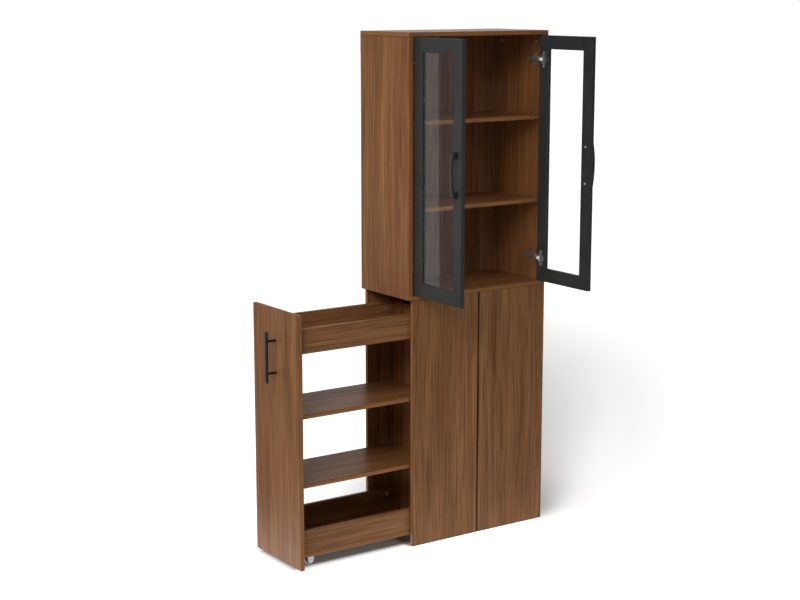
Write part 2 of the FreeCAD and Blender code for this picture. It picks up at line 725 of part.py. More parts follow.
def caster_wheel(x, y):
    half = wheel_wide / 2
    rim = wheel_radius - wheel_shoulder
    near = point(x, y - half, wheel_radius)
    near_shoulder = near + Y_AXIS * wheel_shoulder
    far_shoulder = near + Y_AXIS * (wheel_wide - wheel_shoulder)
    wheel = tapered_peg(near, Y_AXIS, rim, wheel_radius, wheel_shoulder, wheel_sides)
    tread = peg(near_shoulder, Y_AXIS, wheel_radius, wheel_wide - 2 * wheel_shoulder, wheel_sides)
    far = tapered_peg(far_shoulder, Y_AXIS, wheel_radius, rim, wheel_shoulder, wheel_sides)
    wheel = wheel.fuse([tread, far])
    bore = rod(near - Y_AXIS * overrun, Y_AXIS, axle_radius + axle_running_gap, wheel_wide + 2 * overrun)
    return wheel.removeSplitter().cut(bore)


def casters():
    brackets = pieces.setdefault("caster_brackets", [])
    for end, x in (("outer", cart_inside_left + caster_inset_x),
                   ("inner", cart_inside_right - caster_inset_x)):
        for side, y in (("near", cart_near + caster_inset_y), ("far", cart_far - caster_inset_y)):
            brackets.append(caster_bracket(x, y))
            pieces["caster_wheel_" + end + "_" + side] = caster_wheel(x, y)


def write_pieces():
    os.makedirs("parts", exist_ok=True)
    for name, shape in pieces.items():
        whole = Part.makeCompound(shape) if isinstance(shape, list) else shape.copy()
        whole.translate(-origin)
        whole.exportStep("parts/" + name + ".step")
        print(name, len(whole.Solids), "solids", round(whole.Volume / 1000, 1), "cm3", whole.isValid())


upper_cupboard()
cupboard_shelves()
lower_boards()
carcass_fasteners()
glass_doors()
trolley_boards()
trolley_handle()
casters()
write_pieces()
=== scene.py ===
import json
import math
import bmesh
import bpy
from mathutils import Matrix, Vector

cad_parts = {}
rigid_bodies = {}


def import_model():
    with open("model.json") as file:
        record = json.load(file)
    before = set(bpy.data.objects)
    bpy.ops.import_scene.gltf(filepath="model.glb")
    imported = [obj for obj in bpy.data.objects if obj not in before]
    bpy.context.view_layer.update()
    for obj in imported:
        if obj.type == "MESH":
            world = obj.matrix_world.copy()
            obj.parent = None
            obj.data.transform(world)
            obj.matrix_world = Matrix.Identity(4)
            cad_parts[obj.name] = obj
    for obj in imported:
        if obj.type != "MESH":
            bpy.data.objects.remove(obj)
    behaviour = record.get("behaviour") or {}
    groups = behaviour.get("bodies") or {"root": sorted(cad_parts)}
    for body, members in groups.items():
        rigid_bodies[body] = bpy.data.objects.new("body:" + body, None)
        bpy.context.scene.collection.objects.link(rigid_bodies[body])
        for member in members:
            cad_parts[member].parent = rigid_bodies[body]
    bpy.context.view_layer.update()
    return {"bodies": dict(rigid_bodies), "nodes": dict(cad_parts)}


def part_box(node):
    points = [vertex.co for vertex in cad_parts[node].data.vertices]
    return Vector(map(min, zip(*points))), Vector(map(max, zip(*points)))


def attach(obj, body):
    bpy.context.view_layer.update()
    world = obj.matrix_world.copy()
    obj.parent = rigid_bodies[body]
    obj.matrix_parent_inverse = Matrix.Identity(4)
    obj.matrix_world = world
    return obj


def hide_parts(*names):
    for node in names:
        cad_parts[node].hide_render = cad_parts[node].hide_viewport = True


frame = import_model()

nodes = frame["nodes"]


# Cupboard boards: 15 mm chipboard faced with a printed walnut laminate, edges banded with a plainer strip.
# Top over the sides, middle panel between them, all drawn together with cam fittings.
# The print runs along the length of each board, upright on the sides.
def dressed(material, *names):
    for name in names:
        slots = nodes[name].data.materials
        slots.clear()
        slots.append(material)


def new_finish(name):
    """A material with a bare surface: the material, its node tree and the surface node."""
    material = bpy.data.materials.new(name)
    material.use_nodes = True
    tree = material.node_tree
    tree.nodes.clear()
    out = tree.nodes.new("ShaderNodeOutputMaterial")
    surface = tree.nodes.new("ShaderNodeBsdfPrincipled")
    tree.links.new(surface.outputs["BSDF"], out.inputs["Surface"])
    return material, tree, surface


def object_place(tree):
    return tree.nodes.new("ShaderNodeTexCoord").outputs["Object"]


def feed(tree, socket, value):
    """Gives a socket a number, a colour or a link from another socket."""
    if isinstance(value, (int, float)):
        socket.default_value = value
    elif isinstance(value, tuple):
        socket.default_value = (*value, 1.0)
    else:
        tree.links.new(value, socket)


def ramp(tree, source, stops):
    """A ramp whose stops pair a place with a grey or a colour."""
    node = tree.nodes.new("ShaderNodeValToRGB")
    elements = node.color_ramp.elements
    while len(elements) < len(stops):
        elements.new(0.5)
    for element, (place, shade) in zip(elements, stops):
        element.position = place
        element.color = (*shade, 1.0) if isinstance(shade, tuple) else (shade, shade, shade, 1.0)
    tree.links.new(source, node.inputs["Fac"])
    return node.outputs["Color"]


def blended(tree, kind, amount, first, second):
    node = tree.nodes.new("ShaderNodeMix")
    node.data_type = "RGBA"
    node.blend_type = kind
    factor, colour_a, colour_b = node.inputs[0], node.inputs[6], node.inputs[7]
    feed(tree, factor, amount)
    feed(tree, colour_a, first)
    feed(tree, colour_b, second)
    return node.outputs[2]


def worked(tree, kind, first, second=0.0):
    node = tree.nodes.new("ShaderNodeMath")
    node.operation = kind
    feed(tree, node.inputs[0], first)
    feed(tree, node.inputs[1], second)
    return node.outputs[0]


def parted(tree, vector):
    node = tree.nodes.new("ShaderNodeSeparateXYZ")
    tree.links.new(vector, node.inputs["Vector"])
    return node.outputs


def stretched(tree, source, stretch, shift=(0.0, 0.0, 0.0)):
    node = tree.nodes.new("ShaderNodeMapping")
    node.inputs["Scale"].default_value = stretch
    node.inputs["Location"].default_value = shift
    tree.links.new(source, node.inputs["Vector"])
    return node.outputs["Vector"]


def grain_noise(tree, place, scale, detail, rough=0.6, warp=0.0):
    node = tree.nodes.new("ShaderNodeTexNoise")
    for socket, value in (("Scale", scale), ("Detail", detail), ("Roughness", rough), ("Distortion", warp)):
        node.inputs[socket].default_value = value
    tree.links.new(place, node.inputs["Vector"])
    return node.outputs["Fac"]


def dented(tree, surface, height, strength, distance):
    dents = tree.nodes.new("ShaderNodeBump")
    dents.inputs["Strength"].default_value = strength
    dents.inputs["Distance"].default_value = distance
    tree.links.new(height, dents.inputs["Height"])
    tree.links.new(dents.outputs["Normal"], surface.inputs["Normal"])


def walnut_laminate(name, along, through, shift):
    """Printed walnut with its grain along one axis, on a board whose faces look along another."""
    material, tree, surface = new_finish(name)
    coords = tree.nodes.new("ShaderNodeTexCoord")
    place = coords.outputs["Object"]
    print_apart = 1.7
    offset = tuple(value * print_apart for value in shift)

    def run(share):
        return tuple(share if letter == along else 1.0 for letter in "xyz")

    def figure(source, share, scale, detail, rough=0.6, warp=0.0):
        """Noise drawn out along the grain, the more so the smaller the share."""
        return grain_noise(tree, stretched(tree, source, run(share), offset), scale, detail, rough, warp)

    # the grain sways a little to either side on its way
    sway_most = 0.03
    sway = tree.nodes.new("ShaderNodeTexNoise")
    sway.inputs["Scale"].default_value = 5.0
    sway.inputs["Detail"].default_value = 1.0
    tree.links.new(stretched(tree, place, run(0.35), offset), sway.inputs["Vector"])
    swayed = tree.nodes.new("ShaderNodeVectorMath")
    swayed.operation = "MULTIPLY_ADD"
    swayed.inputs[1].default_value = (sway_most, sway_most, sway_most)
    tree.links.new(sway.outputs["Color"], swayed.inputs[0])
    tree.links.new(place, swayed.inputs[2])
    grown = swayed.outputs["Vector"]

    # broad flitches, growth lines, fine fibres, sparse dark veins and short pores
    tone = ramp(tree, figure(grown, share=0.055, scale=20.0, detail=3.0, rough=0.5), [
        (0.30, (0.225, 0.089, 0.028)), (0.50, (0.288, 0.120, 0.041)), (0.70, (0.345, 0.155, 0.058))])
    lines = ramp(tree, figure(grown, share=0.016, scale=150.0, detail=3.0), [
        (0.28, 0.50), (0.50, 0.97), (0.72, 1.22)])
    fibres = ramp(tree, figure(grown, share=0.010, scale=300.0, detail=3.0), [
        (0.30, 0.55), (0.52, 0.98), (0.75, 1.20)])
    veins = ramp(tree, figure(grown, share=0.022, scale=120.0, detail=2.0, rough=0.55, warp=0.4), [
        (0.58, 1.0), (0.66, 0.52), (0.80, 0.34)])
    pores = ramp(tree, figure(place, share=0.05, scale=520.0, detail=2.0, rough=0.5), [
        (0.30, 0.45), (0.42, 1.0)])

    # the pointed arches of a flat-sawn flitch, only here and there
    arch_count = 26.0
    field = figure(grown, share=0.05, scale=8.0, detail=1.0, rough=0.4)
    saw = worked(tree, "FRACT", worked(tree, "MULTIPLY", field, arch_count))
    arches = ramp(tree, saw, [(0.0, 0.55), (0.2, 0.95), (0.65, 1.0), (1.0, 0.52)])
    patch = ramp(tree, figure(place, share=0.2, scale=4.5, detail=1.0), [(0.44, 0.0), (0.60, 0.46)])

    colour = tone
    for amount, layer in ((0.85, lines), (0.80, fibres), (0.60, veins), (patch, arches), (0.45, pores)):
        colour = blended(tree, "MULTIPLY", amount, colour, layer)

    # painted light: boards whose faces look along y are tinted cooler, standing in for cooler light on the
    # faces toward the front
    if through == "y":
        cool_light_tint = (1.0, 1.09, 1.32)
        colour = blended(tree, "MULTIPLY", 1.0, colour, cool_light_tint)

    # banded edges carry less figure; painted shade darkens the broken corners and the foot of a board
    band_brown, corner_shade_brown = (0.300, 0.128, 0.045), (0.30, 0.27, 0.25)
    sides = [worked(tree, "ABSOLUTE", part) for part in parted(tree, coords.outputs["Normal"])]
    edge = worked(tree, "LESS_THAN", sides["xyz".index(through)], 0.8)
    banding = blended(tree, "MULTIPLY", 0.6, band_brown, fibres)
    colour = blended(tree, "MIX", edge, colour, banding)
    squarest = worked(tree, "MAXIMUM", worked(tree, "MAXIMUM", sides[0], sides[1]), sides[2])
    corner = worked(tree, "LESS_THAN", squarest, 0.9)
    colour = blended(tree, "MULTIPLY", corner, colour, corner_shade_brown)
    height_cm = worked(tree, "MULTIPLY", parted(tree, place)["Z"], 100.0)
    foot_shade = ramp(tree, height_cm, [(0.10, 0.28), (0.55, 1.0)])
    tree.links.new(blended(tree, "MULTIPLY", 1.0, colour, foot_shade), surface.inputs["Base Color"])

    sheen = ramp(tree, fibres, [(0.6, 0.52), (1.0, 0.40)])
    tree.links.new(sheen, surface.inputs["Roughness"])
    surface.inputs["Specular IOR Level"].default_value = 0.09
    dented(tree, surface, pores, strength=0.10, distance=0.0004)
    return material


for name, along, through, shift in (
        ("top_panel", "x", "z", (0.3, 1.1, 0.0)),
        ("upper_left_side", "z", "x", (1.3, 0.2, 0.6)),
        ("upper_right_side", "z", "x", (2.1, 0.7, 0.3)),
        ("middle_panel", "x", "z", (0.8, 2.3, 0.4)),
        ("cabinet_upper_shelf", "x", "z", (1.7, 0.9, 1.2)),
        ("cabinet_lower_shelf", "x", "z", (2.6, 1.4, 0.7))):
    dressed(walnut_laminate("walnut_" + name, along, through, shift), name)


# Cupboard back: a 5 mm fibreboard sheet with the same walnut print, slid into grooves.
# It is thinner and flatter than the boards, with the figure upright.
dressed(walnut_laminate("walnut_upper_back_panel", "z", "y", (3.2, 0.4, 0.9)), "upper_back_panel")


# Lower boards: two tall front boards side by side with a fine dark seam, a back board and a right side.
# Same 15 mm laminate, figure upright, standing on the floor.
for name, through, shift in (
        ("lower_front_left_board", "y", (0.15, 3.1, 0.2)),
        ("lower_front_right_board", "y", (1.05, 2.4, 1.5)),
        ("lower_back_board", "y", (2.2, 1.9, 0.8)),
        ("lower_right_side", "x", (0.6, 0.3, 2.2))):
    dressed(walnut_laminate("walnut_" + name, "z", through, shift), name)

seam_x = (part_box("lower_front_left_board")[1].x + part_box("lower_front_right_board")[0].x) / 2


def from_seam(tree, place):
    """How far a place lies to either side of the front boards' seam, in metres."""
    return worked(tree, "ABSOLUTE", worked(tree, "SUBTRACT", parted(tree, place)["X"], seam_x))


# painted shade: the two front boards darken within about five millimetres of their seam
for name in ("lower_front_left_board", "lower_front_right_board"):
    tree = bpy.data.materials["walnut_" + name].node_tree
    paint = next(node for node in tree.nodes if node.type == "BSDF_PRINCIPLED").inputs["Base Color"]
    seam_cm = worked(tree, "MULTIPLY", from_seam(tree, object_place(tree)), 100.0)
    shade = ramp(tree, seam_cm, [(0.33, 0.22), (0.48, 1.0)])
    tree.links.new(blended(tree, "MULTIPLY", 1.0, paint.links[0].from_socket, shade), paint)


# Small steel fittings: shelf pins, hinge plates, arms, links and cups, and screws.
# Stamped steel with a bright nickel plating, a little brushed and dulled in the hollows.
# The hinge cups are plated duller than the rest.
def plated_metal(name, colour, low, high, brush, shine=0.9):
    """Plating between two roughnesses, with scuffs drawn out along y by brush."""
    material, tree, surface = new_finish(name)
    place = object_place(tree)
    surface.inputs["Metallic"].default_value = shine
    scuffs = grain_noise(tree, stretched(tree, place, (1.0, brush, 1.0)), scale=900.0, detail=3.0)
    tree.links.new(ramp(tree, scuffs, [(0.3, low), (0.7, high)]), surface.inputs["Roughness"])
    cloud = grain_noise(tree, place, scale=120.0, detail=2.0)
    dull = tuple(value * 0.78 for value in colour)
    tree.links.new(ramp(tree, cloud, [(0.35, dull), (0.6, colour)]), surface.inputs["Base Color"])
    dented(tree, surface, scuffs, strength=0.06, distance=0.0002)
    return material


nickel = plated_metal("nickel_plate", (0.80, 0.79, 0.77), low=0.24, high=0.40, brush=0.25)
dressed(nickel, "shelf_pins", "carcass_screws", "carcass_cam_bolts",
        "left_hinge_plates", "right_hinge_plates", "left_hinge_arms", "right_hinge_arms",
        "left_hinge_links", "right_hinge_links")
dull_nickel = plated_metal("dull_nickel", (0.48, 0.48, 0.47), low=0.30, high=0.46, brush=0.25)
dressed(dull_nickel, "left_hinge_cups", "right_hinge_cups")


# Cam locks: round zinc castings let into the boards, with a thin lip over the bore and a cross slot.
# A screwdriver turns them half a turn to draw the bolt's head in.
def lumps(node):
    """The box of each separate solid in a node's mesh, found by which corners share a face."""
    mesh = nodes[node].data
    keys = [tuple(round(value, 5) for value in vertex.co) for vertex in mesh.vertices]
    owner = {key: key for key in keys}

    def root(key):
        while owner[key] != key:
            key = owner[key]
        return key

    for face in mesh.polygons:
        first = root(keys[face.vertices[0]])
        for corner in face.vertices[1:]:
            owner[root(keys[corner])] = first
    groups = {}
    for key in sorted(owner):
        groups.setdefault(root(key), []).append(key)
    return [(Vector(map(min, zip(*group))), Vector(map(max, zip(*group)))) for group in groups.values()]


def facing(out):
    return Vector((0.0, 0.0, 1.0)).rotation_difference(out).to_matrix()


def banded(mesh, low, high):
    """A band of faces between two loops of as many corners."""
    for i in range(len(low)):
        mesh.faces.new((low[i - 1], low[i], high[i], high[i - 1]))


def turned_rings(mesh, start, out, profile, sides):
    """Rings of corners about a line from start along out, one for each (radius, height)."""
    spin = facing(out)
    turns = [2.0 * math.pi * i / sides for i in range(sides)]
    rings = []
    for radius, height in profile:
        corners = [Vector((radius * math.cos(turn), radius * math.sin(turn), height)) for turn in turns]
        rings.append([mesh.verts.new(start + spin @ corner) for corner in corners])
    for low, high in zip(rings, rings[1:]):
        banded(mesh, low, high)
    return rings


def cross_slotted(mesh, start, out, profile, sides, arm, slot, deep):
    """A turned head whose flat top has a cross slot: arm is its half length, slot its half width."""
    rings = turned_rings(mesh, start, out, profile, sides)
    mesh.faces.new(rings[0])
    spin, top = facing(out), profile[-1][1]
    outline = [(slot, slot), (slot, arm), (-slot, arm), (-slot, slot), (-arm, slot), (-arm, -slot),
               (-slot, -slot), (-slot, -arm), (slot, -arm), (slot, -slot), (arm, -slot), (arm, slot)]
    brink, floor_line = [[mesh.verts.new(start + spin @ Vector((x, y, level))) for x, y in outline]
                         for level in (top, top - deep)]
    edges = []
    for loop in (rings[-1], brink):
        for i in range(len(loop)):
            edge = mesh.edges.get((loop[i - 1], loop[i]))
            edges.append(edge or mesh.edges.new((loop[i - 1], loop[i])))
    bmesh.ops.triangle_fill(mesh, edges=edges, use_beauty=True, normal=out)
    banded(mesh, brink, floor_line)
    mesh.faces.new(floor_line)


def placed(name, data):
    thing = bpy.data.objects.new(name, data)
    bpy.context.scene.collection.objects.link(thing)
    return thing


def finished_piece(mesh, name, material, body, slot_name, *replaced):
    smooth_below = math.radians(32.0)
    bmesh.ops.recalc_face_normals(mesh, faces=mesh.faces)
    data = bpy.data.meshes.new(name)
    mesh.to_mesh(data)
    mesh.free()
    data.polygons.foreach_set("use_smooth", [True] * len(data.polygons))
    data.set_sharp_from_angle(angle=smooth_below)
    data.materials.append(material)
    piece = placed(name, data)
    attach(piece, body)
    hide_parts(*replaced)


zinc = plated_metal("cast_zinc", (0.62, 0.62, 0.60), low=0.40, high=0.55, brush=1.0)


def cam_set(name, node, body, boards):
    """Round cams where the node's are, each showing its slot on the face of the board it is let into."""
    lip, over, bore, depth, slack = 0.0081, 0.0004, 0.0062, 0.012, 0.0005
    profile = [(bore, 0.0), (bore, depth - 0.0001), (lip, depth), (lip, depth + over * 0.6),
               (lip - 0.0004, depth + over), (lip - 0.0016, depth + over)]
    mesh = bmesh.new()
    for low, high in lumps(node):
        middle = (low + high) / 2
        through = min(range(3), key=lambda i: abs(high[i] - low[i] - depth))
        out, face = Vector((0.0, 0.0, 0.0)), None
        for board in boards:
            board_low, board_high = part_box(board)
            if all(board_low[i] - slack < middle[i] < board_high[i] + slack for i in range(3)):
                if abs(high[through] - board_high[through]) < abs(low[through] - board_low[through]):
                    out[through], face = 1.0, high[through]
                else:
                    out[through], face = -1.0, low[through]
        start = middle.copy()
        start[through] = face - out[through] * depth
        cross_slotted(mesh, start, out, profile, sides=28, arm=0.0034, slot=0.0009, deep=0.0022)
    finished_piece(mesh, name, zinc, body, "zinc_fitting", node)


cam_set("carcass_cams", "carcass_cam_locks", "carcass", (
    "top_panel", "upper_left_side", "upper_right_side", "middle_panel", "lower_front_left_board",
    "lower_front_right_board", "lower_back_board", "lower_right_side"))
cam_set("cart_cams", "cart_cam_locks", "cart", (
    "cart_outer_panel", "cart_inner_panel", "cart_top_near_rail", "cart_top_far_rail",
    "cart_top_tray_floor", "cart_upper_shelf", "cart_lower_shelf", "cart_bottom_near_rail",
    "cart_bottom_far_rail", "cart_bottom_board"))
dressed(nickel, "cart_cam_bolts")


# Dowels between the two right sides and across the front seam: turned beech, glued in and out of sight.
# Pale, with short flecks along their length, and painted dark with shade where they cross the seam.
def turned_beech(name):
    material, tree, surface = new_finish(name)
    place = object_place(tree)
    flecks = grain_noise(tree, stretched(tree, place, (1.0, 1.0, 0.08)), scale=700.0, detail=3.0)
    pale = ramp(tree, flecks, [(0.35, (0.36, 0.22, 0.11)), (0.6, (0.56, 0.39, 0.22))])
    # painted shade: the dowels turn near black within three millimetres of the seam
    seam_reach, seam_shade_brown = 0.003, (0.014, 0.008, 0.004)
    in_seam = worked(tree, "LESS_THAN", from_seam(tree, place), seam_reach)
    tree.links.new(blended(tree, "MIX", in_seam, pale, seam_shade_brown), surface.inputs["Base Color"])
    surface.inputs["Roughness"].default_value = 0.6
    return material


dressed(turned_beech("beech"), "carcass_dowels")


# Door frames: fibreboard stiles and rails wrapped in a matt charcoal foil, grooved for the pane.
# Stiles run the full height and the rails butt between them.
def charcoal_foil(name, along):
    material, tree, surface = new_finish(name)
    place = object_place(tree)
    drawn_out = tuple(0.06 if letter == along else 1.0 for letter in "xyz")
    brushed = grain_noise(tree, stretched(tree, place, drawn_out, (0.4, 0.0, 0.2)), scale=260.0, detail=4.0)
    cloud = ramp(tree, grain_noise(tree, place, scale=9.0, detail=2.0), [
        (0.3, (0.035, 0.0355, 0.036)), (0.7, (0.045, 0.0455, 0.046))])
    streaks = ramp(tree, brushed, [(0.3, 0.80), (0.7, 1.10)])
    tree.links.new(blended(tree, "MULTIPLY", 0.35, cloud, streaks), surface.inputs["Base Color"])
    tree.links.new(ramp(tree, brushed, [(0.3, 0.42), (0.7, 0.54)]), surface.inputs["Roughness"])
    surface.inputs["Specular IOR Level"].default_value = 0.10
    dented(tree, surface, brushed, strength=0.05, distance=0.0002)
    return material


upright_foil = charcoal_foil("charcoal_upright", "z")
level_foil = charcoal_foil("charcoal_level", "y")
for hand in ("left", "right"):
    dressed(upright_foil, hand + "_door_hinge_stile", hand + "_door_free_stile")
    dressed(level_foil, hand + "_door_top_rail", hand + "_door_bottom_rail")


# Door panes: 4 mm clear float glass held in the grooves of the frame.
# Nearly colourless, with the least smear of handling in its gloss.
def float_glass(name):
    material, tree, surface = new_finish(name)
    surface.inputs["Base Color"].default_value = (0.96, 0.975, 0.97, 1.0)
    surface.inputs["Transmission Weight"].default_value = 1.0
    surface.inputs["IOR"].default_value = 1.14
    smear = grain_noise(tree, object_place(tree), scale=6.0, detail=3.0)
    tree.links.new(ramp(tree, smear, [(0.4, 0.0), (0.8, 0.03)]), surface.inputs["Roughness"])
    return material


dressed(float_glass("clear_glass"), "left_door_glass", "right_door_glass")


# Pulls: cast bow handles with two cross-slotted screws on the doors, a round bar on posts on the trolley.
# Satin black powder coat with a fine orange-peel skin. The bow's sizes are in millimetres.
def black_coat(name):
    material, tree, surface = new_finish(name)
    place = object_place(tree)
    peel = grain_noise(tree, place, scale=1400.0, detail=2.0)
    cloud = ramp(tree, grain_noise(tree, place, scale=60.0, detail=2.0), [
        (0.3, (0.010, 0.010, 0.011)), (0.7, (0.017, 0.017, 0.018))])
    tree.links.new(cloud, surface.inputs["Base Color"])
    tree.links.new(ramp(tree, peel, [(0.3, 0.28), (0.7, 0.36)]), surface.inputs["Roughness"])
    surface.inputs["Specular IOR Level"].default_value = 0.30
    dented(tree, surface, peel, strength=0.08, distance=0.0002)
    return material


satin_black = black_coat("black_coat")
dressed(satin_black, "cart_handle_bar", "cart_handle_posts")

pull_half, pull_foot, pull_end, pull_mid = 76.0, 22.0, 19.0, 26.0
pull_thick, pull_wide, pull_corner, pull_under_corner = 6.0, 10.0, 5.0, 2.5
pull_edge_round, pull_foot_round = 1.6, 0.01
pull_x, pull_z, pull_screws_apart = 273.0, 1344.0, 128.0
cabinet_wide, origin_x, origin_y = 600.0, 300.0, 292.5
door_hinge = {"left": (20.7, -0.8, -92.0), "right": (579.3, -0.8, 90.0)}


def on_open_door(hand, x, y, z):
    """From a place on the closed left door, in millimetres, to where the open door holds it, in metres."""
    hinge_x, hinge_y, swing = door_hinge[hand]
    closed_x = x if hand == "left" else cabinet_wide - x
    arm = Matrix.Rotation(math.radians(swing), 2) @ Vector((closed_x - hinge_x, y - hinge_y))
    return Vector((hinge_x + arm.x - origin_x, hinge_y + arm.y - origin_y, z)) / 1000.0


def arched(step, half_span, end, middle):
    rise = middle - end
    radius = (half_span ** 2 + rise ** 2) / (2.0 * rise)
    return middle - radius + math.sqrt(radius ** 2 - step ** 2)


def rounded_down(step, half_span, corner, height):
    past = max(0.0, abs(step) - (half_span - corner))
    return height - corner + math.sqrt(max(0.0, corner ** 2 - past ** 2))


def bow_stations():
    """(step along the pull, rise of its back, rise of its underside) from one end to the other."""
    gap = pull_half - pull_foot
    corner_parts, under_parts, span_parts, within_foot = 6, 4, 12, 62.0

    def back(step):
        return arched(step, pull_half, pull_end, pull_mid)

    def underside(step):
        return arched(step, gap, pull_end - pull_thick, pull_mid - pull_thick)

    back_at_corner = back(pull_half - pull_corner)
    under_at_corner = underside(gap - pull_under_corner)
    half = []
    for part in range(corner_parts + 1):
        step = pull_half - pull_corner * (1.0 - math.cos(math.pi / 2 * part / corner_parts))
        half.append((step, rounded_down(step, pull_half, pull_corner, back_at_corner), 0.0))
    for step in (within_foot, gap):
        half.append((step, back(step), 0.0))
    for part in range(under_parts + 1):
        step = gap - pull_under_corner * (1.0 - math.cos(math.pi / 2 * part / under_parts))
        half.append((step, back(step), rounded_down(step, gap, pull_under_corner, under_at_corner)))
    for part in range(1, span_parts + 1):
        step = (gap - pull_under_corner) * (1.0 - part / span_parts)
        half.append((step, back(step), underside(step)))
    return half + [(-step, top, under) for step, top, under in reversed(half[:-1])]


edge_parts, weld_within = 4, 0.00002
screw_tip = -11.0
screw_profile = [
    (0.0014, 0.0), (0.0019, 0.0006), (0.0019, 0.0260), (0.0044, 0.0261), (0.0044, 0.0270),
    (0.0040, 0.0277), (0.0034, 0.0281), (0.0029, 0.0283)]
for hand in ("left", "right"):
    bow = bmesh.new()
    loops = []
    for step, top, under in bow_stations():
        loop = []
        corners = ((1, top, -1), (-1, top, -1), (-1, under, 1), (1, under, 1))
        for quarter, (side, level, inward) in enumerate(corners):
            ease = pull_edge_round if level > 0.0 else pull_foot_round
            for part in range(edge_parts + 1):
                turn = math.pi / 2 * (quarter + part / edge_parts)
                x = pull_x + side * (pull_wide / 2 - ease) + ease * math.cos(turn)
                y = -(level + inward * ease + ease * math.sin(turn))
                loop.append(bow.verts.new(on_open_door(hand, x, y, pull_z + step)))
        loops.append(loop)
    for low, high in zip(loops, loops[1:]):
        banded(bow, low, high)
    bow.faces.new(loops[0])
    bow.faces.new(loops[-1])
    bmesh.ops.remove_doubles(bow, verts=bow.verts, dist=weld_within)
    finished_piece(bow, hand + "_bow_pull", satin_black, hand + "_door", "black_metal", hand + "_door_handle")

    screws = bmesh.new()
    for step in (-1, 1):
        height = pull_z + step * pull_screws_apart / 2
        start = on_open_door(hand, pull_x, screw_tip, height)
        out = (on_open_door(hand, pull_x, 1.0, height) - on_open_door(hand, pull_x, 0.0, height)).normalized()
        cross_slotted(screws, start, out, screw_profile, sides=24, arm=0.0021, slot=0.0005, deep=0.0012)
    finished_piece(screws, hand + "_pull_screws", nickel, hand + "_door", "nickel_steel",
                   hand + "_door_screws")

dressed(nickel, "cart_handle_screws")


# Trolley boards: the tall outer panel and the inner end panel stand upright in the print,
# the rails, shelves and tray floors run lengthwise between them on cam fittings.
for name, along, through, shift in (
        ("cart_outer_panel", "z", "x", (0.9, 1.6, 0.5)),
        ("cart_inner_panel", "z", "x", (1.9, 0.5, 1.1)),
        ("cart_top_near_rail", "x", "y", (0.2, 0.8, 1.4)),
        ("cart_top_far_rail", "x", "y", (1.2, 1.5, 0.3)),
        ("cart_top_tray_floor", "x", "z", (2.4, 0.1, 0.9)),
        ("cart_upper_shelf", "x", "z", (0.5, 2.0, 1.8)),
        ("cart_lower_shelf", "x", "z", (1.4, 2.7, 0.2)),
        ("cart_bottom_near_rail", "x", "y", (2.8, 0.6, 1.6)),
        ("cart_bottom_far_rail", "x", "y", (0.7, 1.3, 2.5)),
        ("cart_bottom_board", "x", "z", (1.6, 0.4, 2.0))):
    dressed(walnut_laminate("walnut_" + name, along, through, shift), name)


# Casters: pressed zinc-plated forks riveted to their axles under the trolley's bottom board.
# Hard black wheels, scuffed where they roll.
fork_plate = plated_metal("fork_plate", (0.34, 0.34, 0.335), low=0.36, high=0.52, brush=0.4, shine=0.25)
dressed(fork_plate, "caster_brackets")


def black_wheel(name):
    material, tree, surface = new_finish(name)
    scuffs = grain_noise(tree, object_place(tree), scale=240.0, detail=4.0)
    worn = ramp(tree, scuffs, [(0.4, (0.014, 0.014, 0.014)), (0.7, (0.035, 0.034, 0.033))])
    tree.links.new(worn, surface.inputs["Base Color"])
    tree.links.new(ramp(tree, scuffs, [(0.3, 0.45), (0.7, 0.62)]), surface.inputs["Roughness"])
    return material


tyre_black = black_wheel("black_wheel")
wheel_half, wheel_sides = 0.007, 48
half_profile = [
    (0.00258, 0.0), (0.00258, wheel_half - 0.0003), (0.0030, wheel_half), (0.0058, wheel_half),
    (0.0063, wheel_half - 0.0004), (0.0068, 0.0052), (0.0120, 0.0049), (0.0127, 0.0064),
    (0.0132, wheel_half - 0.0001), (0.0143, wheel_half), (0.0153, 0.0063), (0.0162, 0.0052),
    (0.0167, 0.0040), (0.01694, 0.0022), (0.017, 0.0)]
wheel_profile = half_profile + [(radius, -height) for radius, height in reversed(half_profile[1:-1])]
for place in ("outer_near", "outer_far", "inner_near", "inner_far"):
    low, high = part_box("caster_wheel_" + place)
    wheel = bmesh.new()
    rings = turned_rings(wheel, (low + high) / 2, Vector((0.0, 1.0, 0.0)), wheel_profile, wheel_sides)
    banded(wheel, rings[-1], rings[0])
    finished_piece(wheel, "wheel_" + place + "_moulded", tyre_black, "wheel_" + place, "black_wheel",
                   "caster_wheel_" + place)


# Studio: a pale floor that runs on into a white ground, and a camera where the photograph was taken.
# Three round lamps, two low strips for the feet of the boards and one that the left pane throws back.
# The floor glows white to the eye except where shadow and shade are painted into its glow and colour; off a
# gloss it shows a painted reflection.
def seen_through(tree):
    """1 for rays from the camera, through glass or off a gloss, 0 for those that only light."""
    path = tree.nodes.new("ShaderNodeLightPath").outputs
    straight = worked(tree, "MAXIMUM", path["Is Camera Ray"], path["Is Transmission Ray"])
    return worked(tree, "MAXIMUM", straight, path["Is Glossy Ray"])


def thrown_back(tree):
    """1 for rays off a gloss; those through rough glass count as glossy too and are left out."""
    path = tree.nodes.new("ShaderNodeLightPath").outputs
    off_gloss = worked(tree, "SUBTRACT", path["Is Glossy Ray"], path["Is Transmission Ray"])
    return worked(tree, "GREATER_THAN", off_gloss, 0.5)


def eased(tree, value, low, high):
    """A soft step from 0 at low to 1 at high, whichever of them is the larger."""
    node = tree.nodes.new("ShaderNodeMapRange")
    node.interpolation_type = "SMOOTHSTEP"
    node.inputs["From Min"].default_value = low
    node.inputs["From Max"].default_value = high
    tree.links.new(value, node.inputs["Value"])
    return node.outputs["Result"]


def from_point(tree, kind, point, source):
    node = tree.nodes.new("ShaderNodeVectorMath")
    node.operation = kind
    node.inputs[1].default_value = point
    tree.links.new(source, node.inputs[0])
    return node.outputs["Value" if kind != "SUBTRACT" else "Vector"]


